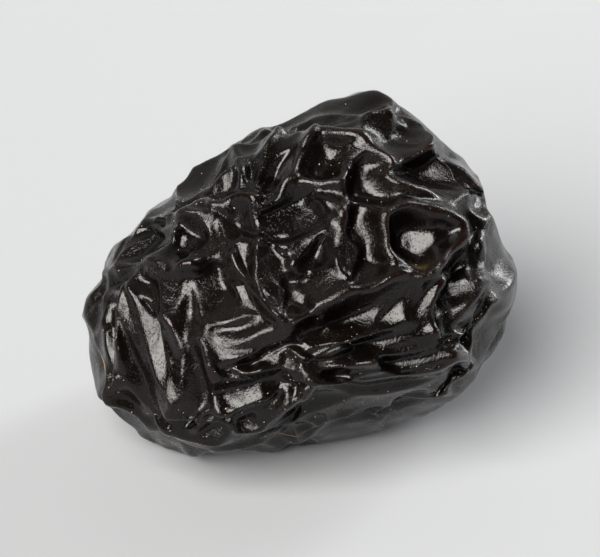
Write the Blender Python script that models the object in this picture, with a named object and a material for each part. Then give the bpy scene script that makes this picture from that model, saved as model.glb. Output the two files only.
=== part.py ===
"""One prune lying on its side, 34 mm long.

A whole dried plum: a lopsided rounded body, its skin fallen into hollows that meet in
thin ridges. It stands on a small flat spot below.
"""
import math

import bmesh
import bpy
import numpy as np

MM = 0.001

# Driving dimensions, in millimetres
LENGTH = 34.0            # across the fruit, along X
THICKNESS = 26.4         # through the fruit, along the line of sight
VIEW_UP = 32.0           # degrees that the side described here faces upwards
# Half widths of the fruit as that side shows it, every 30 degrees, from +X round by the top
OUTLINE = (17.0, 16.4, 15.7, 12.3, 10.9, 11.4, 14.3, 16.7, 15.5, 12.2, 11.8, 15.2)
FURTHEST = 0.97          # no spot lies nearer to the outline than this share of the way
SAG = 3.0                # how far the fullest part of the described side hangs below its middle
SAG_ROUNDS = 12          # how often a spot's place is corrected for that
BELLY = 2.6              # how far the hidden underside swells, so that the fruit stands on it
BELLY_PLACE = (0.55, 0.0, -1.0)
BELLY_WIDTH = 0.75
FLAT_SPOT = 0.9          # how much of the underside is pressed flat
CALM = 0.35              # how much of its hollows the pressed underside keeps

# Hollows that can be told apart on the described side, in millimetres and degrees, and how far
# each turns its floor to FACING: (across, up, half length, half width, turn, depth, share)
HOLLOWS = (
    (10.0, 2.3, 2.8, 2.4, -20, 2.0, 0.9),
    (14.3, 2.7, 3.7, 1.7, 88, 1.1, 0.0),
    (11.6, 7.6, 4.2, 2.0, -18, 1.2, 0.3),
    (8.6, 10.3, 2.5, 2.5, 0, 1.6, 0.0),
    (6.7, 13.3, 3.4, 2.0, -12, 0.8, 0.0),
    (-0.5, 12.2, 4.2, 1.6, 20, 1.2, 0.2),
    (3.4, 11.5, 3.0, 1.1, 8, 1.1, 0.0),
    (-0.7, 8.1, 2.7, 1.6, 62, 1.7, 0.5),
    (-3.9, 8.9, 2.5, 1.6, 70, 1.6, 0.3),
    (3.0, 8.6, 2.2, 2.1, 0, 1.5, 0.0),
    (6.3, 7.0, 2.6, 1.8, -60, 1.7, 0.0),
    (0.7, 4.7, 3.3, 2.1, 15, 1.8, 0.0),
    (5.9, 2.2, 3.3, 1.7, 84, 1.8, 0.0),
    (2.2, 1.8, 3.0, 1.5, 42, 1.6, 0.0),
    (1.7, -1.1, 2.1, 1.7, 60, 1.6, 0.9),
    (-1.9, 0.0, 3.2, 1.0, -62, 1.6, 1.0),
    (0.2, 0.3, 2.6, 1.0, -62, 1.9, 0.0),
    (-4.9, -1.2, 2.6, 2.5, 0, 1.4, 0.3),
    (-9.7, -4.8, 5.0, 1.4, -70, 1.5, 1.0),
    (-6.5, -5.6, 4.8, 1.2, -84, 1.6, 0.0),
    (-13.2, -4.6, 3.4, 1.3, -76, 1.2, 1.0),
    (-10.9, -9.6, 3.6, 1.6, -86, 0.8, 0.0),
    (-11.8, 0.6, 4.9, 1.6, 30, 1.5, 0.0),
    (-15.3, -2.5, 2.5, 2.0, 60, 0.9, 0.4),
    (-7.9, 5.4, 3.7, 2.1, 20, 1.6, 0.2),
    (-7.3, 2.2, 1.8, 1.2, 80, 1.3, 0.7),
    (-3.7, 3.6, 2.5, 1.8, -50, 1.6, 0.0),
    (-3.1, -4.3, 3.9, 1.2, 8, 1.4, 0.6),
    (0.2, -5.8, 4.2, 1.2, 18, 1.5, 0.5),
    (6.2, -3.0, 5.7, 1.6, 18, 1.9, 0.7),
    (12.8, -1.5, 3.0, 1.5, 42, 1.4, 1.0),
    (14.0, -3.8, 2.2, 1.2, 30, 1.2, 0.6),
    (7.8, -5.4, 5.7, 1.1, 6, 1.3, 0.7),
    (7.6, -8.0, 5.9, 1.6, 4, 1.6, 0.0),
    (-2.2, -8.6, 3.2, 2.1, 0, 1.2, 0.2),
    (2.2, -9.9, 3.2, 1.5, 30, 1.2, 0.0),
    (6.8, -10.6, 4.9, 1.5, 6, 1.0, 0.0),
    (-6.7, -11.6, 3.4, 1.5, -10, 0.9, 0.6),
    (-1.8, -12.3, 3.7, 1.4, 8, 0.8, 0.0),
    (-13.3, -9.0, 3.2, 1.8, -60, 0.6, 0.0),
)
FACING = (-0.28, 0.22, 0.93)
MOST_TURNED = 2.2        # the most that this deepens a hollow
# Thin ridges that can be followed on the described side: height, width of the foot, and the
# spots (across, up) that each passes, in millimetres
RIDGES = (
    (1.53, 1.6, ((-6.5, -4.6), (-3.2, -4.6), (0.1, -3.7), (1.5, -2.8), (4.4, -1.2), (7.0, -0.4),
                (9.0, 0.4), (9.9, -0.1))),
    (1.65, 1.2, ((-10.8, -0.9), (-9.7, -2.5), (-8.5, -4.2), (-7.9, -7.0), (-7.8, -9.6), (-8.3, -11.2))),
    (1.30, 1.0, ((-11.5, -0.8), (-11.9, -2.6), (-11.8, -5.4), (-12.0, -7.6), (-12.6, -9.4))),
    (1.65, 1.4, ((7.2, 4.3), (9.0, 4.9), (11.7, 4.4), (13.1, 3.6), (12.6, 1.8), (10.8, 0.2), (9.9, -0.1),
                (8.1, 1.5), (7.3, 3.3), (7.2, 4.3))),
    (1.42, 1.2, ((6.3, 12.0), (9.5, 12.3), (10.6, 11.5), (10.6, 9.3), (9.0, 7.9), (7.6, 7.3), (8.1, 6.6))),
    (1.06, 1.8, ((7.6, 7.2), (9.5, 6.1), (12.4, 5.6), (14.9, 6.3))),
    (1.06, 1.2, ((-1.9, 12.3), (0.3, 12.8), (2.6, 13.0), (4.4, 12.9), (6.3, 12.0))),
    (1.42, 1.1, ((-3.9, 9.6), (-3.3, 9.0), (-3.2, 7.7), (-2.2, 6.5))),
    (1.30, 1.1, ((0.8, 12.0), (-0.3, 10.4), (-1.5, 8.4), (-2.2, 6.5))),
    (1.53, 1.2, ((2.4, 10.9), (1.5, 9.0), (0.6, 7.4), (-0.1, 5.6), (-1.2, 4.9))),
    (1.06, 1.1, ((0.3, 11.1), (1.3, 10.6), (2.6, 11.5), (6.0, 12.0))),
    (1.30, 1.1, ((2.4, 10.9), (4.9, 10.3), (6.7, 9.9), (7.9, 8.6))),
    (1.18, 1.1, ((1.3, 7.1), (2.6, 6.5), (4.2, 6.8), (4.9, 8.1))),
    (1.53, 1.1, ((2.4, 5.6), (3.8, 4.7), (4.4, 2.9), (5.4, 2.0), (5.1, -0.1))),
    (1.18, 0.9, ((3.3, 3.8), (4.0, 1.5), (4.7, -0.1))),
    (1.53, 1.1, ((-3.3, 2.4), (-2.4, 1.1), (-1.5, -1.7), (0.1, -3.5))),
    (1.18, 0.9, ((-3.3, 2.4), (-1.5, 2.9), (-1.8, 1.0), (-0.9, -1.2), (0.1, -3.5))),
    (1.06, 1.1, ((-1.5, 2.9), (-0.3, 1.1), (0.3, 0.6), (1.9, 2.2), (3.3, 3.6))),
    (1.18, 1.2, ((-10.1, 4.5), (-8.3, 5.9), (-5.3, 6.8), (-3.7, 7.7))),
    (1.42, 1.1, ((-9.9, 4.5), (-7.6, 4.3), (-5.3, 4.3), (-5.1, 4.9), (-3.1, 5.6), (-1.2, 4.9), (-0.1, 5.6))),
    (1.06, 0.9, ((-7.8, 3.1), (-6.9, 2.0), (-6.5, 0.6))),
    (1.18, 1.1, ((-5.1, 4.5), (-4.2, 2.9), (-3.3, 2.2))),
    (1.30, 1.2, ((-16.0, -2.1), (-13.8, 0.2), (-10.3, 1.1), (-7.8, 0.8), (-6.5, 0.6))),
    (1.06, 1.2, ((-14.4, -2.6), (-11.5, -0.7), (-9.2, 0.4), (-6.9, 0.6))),
    (1.42, 1.1, ((-6.5, -4.6), (-5.3, -6.7), (-4.7, -7.3))),
    (0.83, 0.9, ((-4.7, -7.3), (-3.6, -6.6), (-2.3, -7.4), (-1.0, -6.2), (0.2, -5.6), (1.7, -6.0), (3.3, -5.4),
                (3.9, -4.1), (5.3, -5.2))),
    (1.53, 1.2, ((2.2, -7.4), (4.0, -7.4), (6.3, -6.5), (9.0, -6.7), (11.3, -6.0), (12.6, -5.8))),
    (1.06, 1.1, ((2.2, -7.6), (1.5, -8.7), (-0.1, -9.9), (-1.5, -11.2), (-3.3, -11.4))),
    (0.71, 1.1, ((-6.5, -11.0), (-5.1, -10.1), (-3.1, -9.6), (-1.5, -9.2))),
    (1.30, 1.2, ((11.0, -4.2), (11.7, -3.0), (13.6, -1.7), (14.9, -0.1))),
    (1.30, 1.1, ((11.5, -0.3), (11.3, -2.3), (11.0, -4.2))),
    (1.06, 1.1, ((12.4, -3.7), (14.0, -3.2), (15.4, -2.0))),
    (0.94, 1.2, ((-8.7, -11.4), (-6.9, -12.0), (-4.7, -12.3))),
)
CREST = 0.12             # how round a ridge is on top
BETWEEN = 0.9            # how far the skin has sunk everywhere between the ridges
HOLLOW_SHARE = 0.52      # how much of the hollows' depth adds to that on the described side
CALM_EDGE = 0.45         # how much calmer the skin is round the fruit's outline
EDGE_WIDTH = 0.3
SIDE_START = 0.3         # the described side's share at the outline, and how fast it grows from there
SIDE_GROWTH = 2.0

# Every hollow spreads and deepens by these as its neighbours run into it
SPREAD = 1.15
DEEPER = 1.25

# The scar where the stem was, out of sight behind the upper left: across, up and near
SCAR_SIDE = (-0.55, 0.5, -0.67)
SCAR_RADIUS = 2.0
SCAR_DEPTH = 1.5

# Hollows scattered over the sides that are out of sight, long ones running from the scar
SCATTER_SEED = 4
SCATTER_COUNT = 75
SCATTER_EDGE = 0.22      # how far they come round to the described side
SCATTER_SPACING = 3.4
SCATTER_LENGTH = (2.8, 5.8)
SCATTER_SLIMNESS = (0.35, 0.8)
SCATTER_DEPTH = (0.9, 1.8)
STRAYING = 0.55          # how far they turn from running straight to the scar

RIM = 0.1                # how round the ridges are between two hollows

# How far the ridges wander from where the hollows alone would meet, and over what length
WANDER = ((0.6, 6.5), (0.3, 2.8))
WANDER_WAVES = 10
WANDER_SEED = 11
DESCRIBED_SHARE = 0.3    # the share of it on the described side

FINE_LEVELS = 7          # the sphere that is drawn out has 20 * 4 ** 6 triangles
KEPT = 0.137             # of which the finished body keeps this share

SKIN_COLOR = (0.022, 0.012, 0.011, 1.0)
SKIN_ROUGHNESS = 0.32

RIGHT = np.array([1.0, 0.0, 0.0])
UP = np.array([0.0, math.sin(math.radians(VIEW_UP)), math.cos(math.radians(VIEW_UP))])
NEAR = np.array([0.0, -math.cos(math.radians(VIEW_UP)), math.sin(math.radians(VIEW_UP))])
HALF_THICKNESS = THICKNESS / 2


def clear_scene():
    for item in list(bpy.data.objects):
        bpy.data.objects.remove(item)


def unit(vectors):
    return vectors / np.linalg.norm(vectors, axis=-1, keepdims=True)


def outline_radius(angle):
    """The fruit's half width at an angle round the described side."""
    radii = np.array(OUTLINE)
    place = np.mod(angle, 2 * math.pi) / (2 * math.pi) * len(radii)
    first = np.floor(place).astype(int)
    t = place - first
    before, here, after, beyond = (radii[(first + k) % len(radii)] for k in (-1, 0, 1, 2))
    slope = (after - before) / 2
    next_slope = (beyond - here) / 2
    return (here * (1 + 2 * t) * (1 - t) ** 2 + slope * t * (1 - t) ** 2
            + after * t * t * (3 - 2 * t) - next_slope * t * t * (1 - t))


def plump(across, up, near):
    """The smooth fruit: directions to points and the way out of its skin there."""
    radius = outline_radius(np.arctan2(up, across))
    outward = unit(np.stack([across / radius, up / radius, near / HALF_THICKNESS], -1))
    axes = np.stack([RIGHT, UP, NEAR])
    full = np.maximum(near, 0)
    points = np.stack([across * radius, up * radius - SAG * full ** 2, near * HALF_THICKNESS], -1) @ axes
    outward = outward @ axes
    outward = unit(outward + (outward @ UP * 2 * SAG * full / HALF_THICKNESS)[..., None] * NEAR)
    towards = unit(points)
    under = np.exp(-((towards - unit(np.array(BELLY_PLACE))) ** 2).sum(-1) / BELLY_WIDTH ** 2)
    return points + outward * (BELLY * under)[..., None], outward


def on_side(across, up):
    """The smooth skin under a spot of the described side, and the way out of it."""
    near = 0.0
    for _ in range(SAG_ROUNDS):
        unsagged = up + SAG * near ** 2
        angle = math.atan2(unsagged, across)
        reach = min(math.hypot(across, unsagged) / float(outline_radius(angle)), FURTHEST)
        near = math.sqrt(1 - reach * reach)
    return plump(np.array(reach * math.cos(angle)), np.array(reach * math.sin(angle)), np.array(near))


def described_hollows():
    facing = unit(np.array(FACING)) @ np.stack([RIGHT, UP, NEAR])
    hollows = []
    for across, up, half_length, half_width, turn, depth, share in HOLLOWS:
        place, outward = on_side(across, up)
        along = math.cos(math.radians(turn)) * RIGHT + math.sin(math.radians(turn)) * UP
        lean = share / HOLLOW_SHARE * (facing / (facing @ outward) - outward)
        hollows.append((place, along, outward, half_length, half_width, depth, lean))
    return hollows


def stem_scar():
    place, outward = plump(*unit(np.array(SCAR_SIDE)))
    return place, RIGHT, outward, SCAR_RADIUS, SCAR_RADIUS, SCAR_DEPTH, np.zeros(3)


def scattered_hollows(taken):
    rng = np.random.default_rng(SCATTER_SEED)
    scar = stem_scar()
    places = [hollow[0] for hollow in taken] + [scar[0]]
    hollows = [scar]
    while len(hollows) <= SCATTER_COUNT:
        direction = unit(rng.normal(size=3))
        place, outward = plump(*direction)
        crowded = min(np.linalg.norm(place - other) for other in places) < SCATTER_SPACING
        if crowded or direction[2] > SCATTER_EDGE:
            continue
        along = unit(scar[0] - place) + STRAYING * rng.normal(size=3)
        half_length = rng.uniform(*SCATTER_LENGTH)
        half_width = half_length * rng.uniform(*SCATTER_SLIMNESS)
        depth = rng.uniform(*SCATTER_DEPTH)
        hollows.append((place, along, outward, half_length, half_width, depth, np.zeros(3)))
        places.append(place)
    return hollows


def wander(points, share=1.0):
    """The points after a smooth drift, so that no ridge runs straight."""
    rng = np.random.default_rng(WANDER_SEED)
    drift = np.zeros_like(points)
    for size, length in WANDER:
        for _ in range(WANDER_WAVES):
            heading = unit(rng.normal(size=3)) * 2 * math.pi / (length * rng.uniform(0.7, 1.4))
            wave = np.sin(points @ heading + rng.uniform(0, 2 * math.pi))
            drift += wave[:, None] * rng.normal(size=3) * size / math.sqrt(WANDER_WAVES)
    return points + drift * share


def sink(points, hollows, share=1.0):
    """How deep the skin has sunk at each point: the deepest hollow there, its rim rounded."""
    moved = wander(points, share)
    total = np.ones(len(points))
    for place, along, outward, half_length, half_width, depth, lean in hollows:
        along = unit(along - (along @ outward) * outward)
        aside = np.cross(outward, along)
        offset = moved - place
        reach = ((offset @ along) / half_length) ** 2 + ((offset @ aside) / half_width) ** 2
        reach += ((offset @ outward) / half_length) ** 2
        inside = 1 - reach / SPREAD ** 2
        turned = MOST_TURNED * np.tanh((offset @ lean) / MOST_TURNED)
        sunk = DEEPER * depth * inside + turned * np.maximum(inside, 0)
        total += np.exp(np.maximum(sunk, -1.0) / RIM) - math.exp(-1.0 / RIM)
    return RIM * np.log(total)


def rise(points):
    """How far the ridges that can be followed stand out: a thin crest on a wide foot."""
    moved = wander(points, DESCRIBED_SHARE)
    out = np.zeros(len(points))
    for height, width, route in RIDGES:
        places = [on_side(across, up)[0] for across, up in route]
        nearest = np.full(len(points), np.inf)
        for start, end in zip(places, places[1:]):
            run = end - start
            share = np.clip((moved - start) @ run / (run @ run), 0, 1)
            nearest = np.minimum(nearest, ((moved - start - share[:, None] * run) ** 2).sum(1))
        away = np.sqrt(nearest + CREST ** 2) - CREST
        out = np.maximum(out, height * np.exp(-away / width))
    return out


def wrinkled(directions):
    """Points of the wrinkled skin in millimetres, round the fruit's own middle."""
    across, up, near = directions @ RIGHT, directions @ UP, directions @ NEAR
    points, outward = plump(across, up, near)
    named = described_hollows()
    side = np.clip(SIDE_START + SIDE_GROWTH * near, 0, 1)
    deep = sink(points, named, DESCRIBED_SHARE) * HOLLOW_SHARE + sink(points, scattered_hollows(named))
    deep += (BETWEEN - rise(points)) * side
    deep *= 1 - CALM_EDGE * np.exp(-(near / EDGE_WIDTH) ** 2)
    pressed = np.exp(-((unit(points) - unit(np.array(BELLY_PLACE))) ** 2).sum(1) / BELLY_WIDTH ** 2)
    return points - outward * (deep * (1 - (1 - CALM) * pressed))[:, None]


def standing(points):
    """The scale and the shift that give the fruit its length and put its flat spot at z = 0."""
    low, high = points.min(0), points.max(0)
    scale = LENGTH / (high[0] - low[0])
    middle = (low + high) / 2
    return scale, -scale * np.array([middle[0], middle[1], low[2]]) - [0, 0, FLAT_SPOT]


def drawn_out_sphere(name):
    shape = bmesh.new()
    bmesh.ops.create_icosphere(shape, subdivisions=FINE_LEVELS, radius=1.0)
    points = wrinkled(unit(np.array([vert.co[:] for vert in shape.verts])))
    scale, shift = standing(points)
    for vert, place in zip(shape.verts, scale * points + shift):
        vert.co = place * MM
    mesh = bpy.data.meshes.new(name)
    shape.to_mesh(mesh)
    shape.free()
    mesh.shade_smooth()
    return mesh


def skin_material():
    material = bpy.data.materials.new("prune_skin")
    material.use_nodes = True
    principled = material.node_tree.nodes["Principled BSDF"]
    principled.inputs["Base Color"].default_value = SKIN_COLOR
    principled.inputs["Roughness"].default_value = SKIN_ROUGHNESS
    principled.inputs["Metallic"].default_value = 0.0
    material.diffuse_color = SKIN_COLOR
    return material


def floor_cutter(collection):
    """A block whose top, at z = 0, presses the flat spot."""
    shape = bmesh.new()
    bmesh.ops.create_cube(shape, size=1.0)
    for vert in shape.verts:
        vert.co = (vert.co.x * 2 * LENGTH * MM, vert.co.y * 2 * LENGTH * MM, (vert.co.z - 0.5) * LENGTH * MM)
    mesh = bpy.data.meshes.new("floor_cutter")
    shape.to_mesh(mesh)
    shape.free()
    cutter = bpy.data.objects.new("floor_cutter", mesh)
    collection.objects.link(cutter)
    cutter.hide_render = True
    cutter.display_type = "WIRE"
    return cutter


def build():
    clear_scene()
    parts = bpy.data.collections.new("prune")
    cutters = bpy.data.collections.new("cutters")
    for collection in (parts, cutters):
        bpy.context.scene.collection.children.link(collection)
    prune = bpy.data.objects.new("prune", drawn_out_sphere("prune"))
    parts.objects.link(prune)
    prune.data.materials.append(skin_material())
    thin = prune.modifiers.new("fewer_faces", "DECIMATE")
    thin.ratio = KEPT
    flat = prune.modifiers.new("flat_spot", "BOOLEAN")
    flat.operation = "DIFFERENCE"
    flat.object = floor_cutter(cutters)


build()
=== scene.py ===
import math

import bmesh
import bpy
import numpy as np
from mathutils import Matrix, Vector
from mathutils.bvhtree import BVHTree


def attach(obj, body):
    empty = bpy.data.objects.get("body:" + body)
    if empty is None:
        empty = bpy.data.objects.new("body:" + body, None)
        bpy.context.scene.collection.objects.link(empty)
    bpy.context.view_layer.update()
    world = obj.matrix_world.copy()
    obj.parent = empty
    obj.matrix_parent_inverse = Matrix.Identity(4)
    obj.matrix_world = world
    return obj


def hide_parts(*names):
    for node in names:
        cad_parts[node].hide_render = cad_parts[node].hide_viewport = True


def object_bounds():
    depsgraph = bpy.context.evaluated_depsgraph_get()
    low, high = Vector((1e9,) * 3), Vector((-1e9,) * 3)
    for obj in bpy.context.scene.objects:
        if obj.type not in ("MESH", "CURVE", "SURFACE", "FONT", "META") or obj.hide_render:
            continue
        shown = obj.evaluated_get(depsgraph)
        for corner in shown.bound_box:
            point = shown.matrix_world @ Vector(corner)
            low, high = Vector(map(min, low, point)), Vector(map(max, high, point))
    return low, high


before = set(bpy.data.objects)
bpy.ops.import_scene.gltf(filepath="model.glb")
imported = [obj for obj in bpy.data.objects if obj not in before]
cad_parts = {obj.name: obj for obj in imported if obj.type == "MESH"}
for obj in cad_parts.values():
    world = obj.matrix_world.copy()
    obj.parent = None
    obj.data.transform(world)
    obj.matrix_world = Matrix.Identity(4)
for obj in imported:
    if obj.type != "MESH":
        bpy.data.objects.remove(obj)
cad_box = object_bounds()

# A prune lying on its side, seen from a little above. Its form is worked out by the same rules
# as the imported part, only finer. The skin is then let buckle so that its folds gather, and facets
# between them are drawn tight.

MM = 0.001

# The fruit's form, in millimetres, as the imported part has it
LENGTH = 34.0            # across the fruit, along X
THICKNESS = 26.4         # through the fruit, along the line of sight
VIEW_UP = 32.0           # degrees that the side described here faces upwards
# Half widths of the fruit as that side shows it, every 30 degrees, from +X round by the top
OUTLINE = (17.0, 16.4, 15.7, 12.3, 10.9, 11.4, 14.3, 16.7, 15.5, 12.2, 11.8, 15.2)
FURTHEST = 0.97          # no spot lies nearer to the outline than this share of the way
SAG = 3.0                # how far the fullest part of the described side hangs below its middle
SAG_ROUNDS = 12          # how often a spot's place is corrected for that
BELLY = 2.6              # how far the hidden underside swells, so that the fruit stands on it
BELLY_PLACE = (0.55, 0.0, -1.0)
BELLY_WIDTH = 0.75
FLAT_SPOT = 0.9          # how much of the underside is pressed flat
CALM = 0.35              # how much of its hollows the pressed underside keeps

# Hollows that can be told apart on the described side, in millimetres and degrees, and how far
# each turns its floor to FACING: (across, up, half length, half width, turn, depth, share)
HOLLOWS = (
    (10.0, 2.3, 2.8, 2.4, -20, 2.0, 0.9), (14.3, 2.7, 3.7, 1.7, 88, 1.1, 0),
    (11.6, 7.6, 4.2, 2.0, -18, 1.2, 0.3), (8.6, 10.3, 2.5, 2.5, 0, 1.6, 0),
    (6.7, 13.3, 3.4, 2.0, -12, 0.8, 0), (-0.5, 12.2, 4.2, 1.6, 20, 1.2, 0.2),
    (3.4, 11.5, 3.0, 1.1, 8, 1.1, 0), (-0.7, 8.1, 2.7, 1.6, 62, 1.7, 0.5),
    (-3.9, 8.9, 2.5, 1.6, 70, 1.6, 0.3), (3.0, 8.6, 2.2, 2.1, 0, 1.5, 0),
    (6.3, 7.0, 2.6, 1.8, -60, 1.7, 0), (0.7, 4.7, 3.3, 2.1, 15, 1.8, 0),
    (5.9, 2.2, 3.3, 1.7, 84, 1.8, 0), (2.2, 1.8, 3.0, 1.5, 42, 1.6, 0),
    (1.7, -1.1, 2.1, 1.7, 60, 1.6, 0.9), (-1.9, 0.0, 3.2, 1.0, -62, 1.6, 1.0),
    (0.2, 0.3, 2.6, 1.0, -62, 1.9, 0), (-4.9, -1.2, 2.6, 2.5, 0, 1.4, 0.3),
    (-9.7, -4.8, 5.0, 1.4, -70, 1.5, 1.0), (-6.5, -5.6, 4.8, 1.2, -84, 1.6, 0),
    (-13.2, -4.6, 3.4, 1.3, -76, 1.2, 1.0), (-10.9, -9.6, 3.6, 1.6, -86, 0.8, 0),
    (-11.8, 0.6, 4.9, 1.6, 30, 1.5, 0), (-15.3, -2.5, 2.5, 2.0, 60, 0.9, 0.4),
    (-7.9, 5.4, 3.7, 2.1, 20, 1.6, 0.2), (-7.3, 2.2, 1.8, 1.2, 80, 1.3, 0.7),
    (-3.7, 3.6, 2.5, 1.8, -50, 1.6, 0), (-3.1, -4.3, 3.9, 1.2, 8, 1.4, 0.6),
    (0.2, -5.8, 4.2, 1.2, 18, 1.5, 0.5), (6.2, -3.0, 5.7, 1.6, 18, 1.9, 0.7),
    (12.8, -1.5, 3.0, 1.5, 42, 1.4, 1.0), (14.0, -3.8, 2.2, 1.2, 30, 1.2, 0.6),
    (7.8, -5.4, 5.7, 1.1, 6, 1.3, 0.7), (7.6, -8.0, 5.9, 1.6, 4, 1.6, 0),
    (-2.2, -8.6, 3.2, 2.1, 0, 1.2, 0.2), (2.2, -9.9, 3.2, 1.5, 30, 1.2, 0),
    (6.8, -10.6, 4.9, 1.5, 6, 1.0, 0), (-6.7, -11.6, 3.4, 1.5, -10, 0.9, 0.6),
    (-1.8, -12.3, 3.7, 1.4, 8, 0.8, 0), (-13.3, -9.0, 3.2, 1.8, -60, 0.6, 0),
)
FACING = (-0.28, 0.22, 0.93)
MOST_TURNED = 2.2        # the most that this deepens a hollow
# Thin ridges that can be followed on the described side: height, width of the foot, and the spots
# that each passes, in millimetres. Here and below, spots are across and up by turns
RIDGES = (
    (1.53, 1.6, (-6.5, -4.6, -3.2, -4.6, 0.1, -3.7, 1.5, -2.8, 4.4, -1.2, 7.0, -0.4, 9.0, 0.4, 9.9, -0.1)),
    (1.65, 1.2, (-10.8, -0.9, -9.7, -2.5, -8.5, -4.2, -7.9, -7.0, -7.8, -9.6, -8.3, -11.2)),
    (1.3, 1.0, (-11.5, -0.8, -11.9, -2.6, -11.8, -5.4, -12.0, -7.6, -12.6, -9.4)),
    (1.65, 1.4, (7.2, 4.3, 9.0, 4.9, 11.7, 4.4, 13.1, 3.6, 12.6, 1.8, 10.8, 0.2, 9.9, -0.1, 8.1, 1.5,
      7.3, 3.3, 7.2, 4.3)),
    (1.42, 1.2, (6.3, 12.0, 9.5, 12.3, 10.6, 11.5, 10.6, 9.3, 9.0, 7.9, 7.6, 7.3, 8.1, 6.6)),
    (1.06, 1.8, (7.6, 7.2, 9.5, 6.1, 12.4, 5.6, 14.9, 6.3)),
    (1.06, 1.2, (-1.9, 12.3, 0.3, 12.8, 2.6, 13.0, 4.4, 12.9, 6.3, 12.0)),
    (1.42, 1.1, (-3.9, 9.6, -3.3, 9.0, -3.2, 7.7, -2.2, 6.5)),
    (1.3, 1.1, (0.8, 12.0, -0.3, 10.4, -1.5, 8.4, -2.2, 6.5)),
    (1.53, 1.2, (2.4, 10.9, 1.5, 9.0, 0.6, 7.4, -0.1, 5.6, -1.2, 4.9)),
    (1.06, 1.1, (0.3, 11.1, 1.3, 10.6, 2.6, 11.5, 6.0, 12.0)),
    (1.3, 1.1, (2.4, 10.9, 4.9, 10.3, 6.7, 9.9, 7.9, 8.6)),
    (1.18, 1.1, (1.3, 7.1, 2.6, 6.5, 4.2, 6.8, 4.9, 8.1)),
    (1.53, 1.1, (2.4, 5.6, 3.8, 4.7, 4.4, 2.9, 5.4, 2.0, 5.1, -0.1)),
    (1.18, 0.9, (3.3, 3.8, 4.0, 1.5, 4.7, -0.1)),
    (1.53, 1.1, (-3.3, 2.4, -2.4, 1.1, -1.5, -1.7, 0.1, -3.5)),
    (1.18, 0.9, (-3.3, 2.4, -1.5, 2.9, -1.8, 1.0, -0.9, -1.2, 0.1, -3.5)),
    (1.06, 1.1, (-1.5, 2.9, -0.3, 1.1, 0.3, 0.6, 1.9, 2.2, 3.3, 3.6)),
    (1.18, 1.2, (-10.1, 4.5, -8.3, 5.9, -5.3, 6.8, -3.7, 7.7)),
    (1.42, 1.1, (-9.9, 4.5, -7.6, 4.3, -5.3, 4.3, -5.1, 4.9, -3.1, 5.6, -1.2, 4.9, -0.1, 5.6)),
    (1.06, 0.9, (-7.8, 3.1, -6.9, 2.0, -6.5, 0.6)),
    (1.18, 1.1, (-5.1, 4.5, -4.2, 2.9, -3.3, 2.2)),
    (1.3, 1.2, (-16.0, -2.1, -13.8, 0.2, -10.3, 1.1, -7.8, 0.8, -6.5, 0.6)),
    (1.06, 1.2, (-14.4, -2.6, -11.5, -0.7, -9.2, 0.4, -6.9, 0.6)),
    (1.42, 1.1, (-6.5, -4.6, -5.3, -6.7, -4.7, -7.3)),
    (0.83, 0.9, (-4.7, -7.3, -3.6, -6.6, -2.3, -7.4, -1.0, -6.2, 0.2, -5.6, 1.7, -6.0, 3.3, -5.4, 3.9, -4.1,
      5.3, -5.2)),
    (1.53, 1.2, (2.2, -7.4, 4.0, -7.4, 6.3, -6.5, 9.0, -6.7, 11.3, -6.0, 12.6, -5.8)),
    (1.06, 1.1, (2.2, -7.6, 1.5, -8.7, -0.1, -9.9, -1.5, -11.2, -3.3, -11.4)),
    (0.71, 1.1, (-6.5, -11.0, -5.1, -10.1, -3.1, -9.6, -1.5, -9.2)),
    (1.3, 1.2, (11.0, -4.2, 11.7, -3.0, 13.6, -1.7, 14.9, -0.1)),
    (1.3, 1.1, (11.5, -0.3, 11.3, -2.3, 11.0, -4.2)),
    (1.06, 1.1, (12.4, -3.7, 14.0, -3.2, 15.4, -2.0)),
    (0.94, 1.2, (-8.7, -11.4, -6.9, -12.0, -4.7, -12.3)),
)
CREST = 0.12             # how round a ridge is on top
BETWEEN = 0.9            # how far the skin has sunk everywhere between the ridges
HOLLOW_SHARE = 0.52      # how much of the hollows' depth adds to that on the described side
CALM_EDGE = 0.45         # how much calmer the skin is round the fruit's outline
EDGE_WIDTH = 0.3
SIDE_START = 0.3         # the described side's share at the outline, and how fast it grows from there
SIDE_GROWTH = 2.0

# How far each hollow spreads and deepens as its neighbours run into it
SPREAD = 1.15
DEEPER = 1.25

# The scar where the stem was, out of sight behind the upper left: across, up and near
SCAR_SIDE = (-0.55, 0.5, -0.67)
SCAR_RADIUS = 2.0
SCAR_DEPTH = 1.5

# Hollows scattered over the sides that are out of sight, long ones running from the scar
SCATTER_SEED = 4
SCATTER_COUNT = 75
SCATTER_EDGE = 0.22      # how far they come round to the described side
SCATTER_SPACING = 3.4
SCATTER_LENGTH = (2.8, 5.8)
SCATTER_SLIMNESS = (0.35, 0.8)
SCATTER_DEPTH = (0.9, 1.8)
STRAYING = 0.55          # how far they turn from running straight to the scar

ROUNDING = 0.1           # how round the ridges are between two hollows
SHALLOWEST = -1.0        # a hollow has no share where its own depth is less

# How far the ridges wander from where the hollows alone would meet, and over what length
WANDER = ((0.6, 6.5), (0.3, 2.8))
WANDER_WAVES = 10
WANDER_LENGTHS = (0.7, 1.4)      # the shares of that length that a wave has
WANDER_SEED = 11
DESCRIBED_SHARE = 0.3    # the share of it on the described side

RIGHT = np.array([1.0, 0.0, 0.0])
UP = np.array([0.0, math.sin(math.radians(VIEW_UP)), math.cos(math.radians(VIEW_UP))])
NEAR = np.array([0.0, -math.cos(math.radians(VIEW_UP)), math.sin(math.radians(VIEW_UP))])
HALF_THICKNESS = THICKNESS / 2


def unit(vectors):
    return vectors / np.linalg.norm(vectors, axis=-1, keepdims=True)


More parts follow.
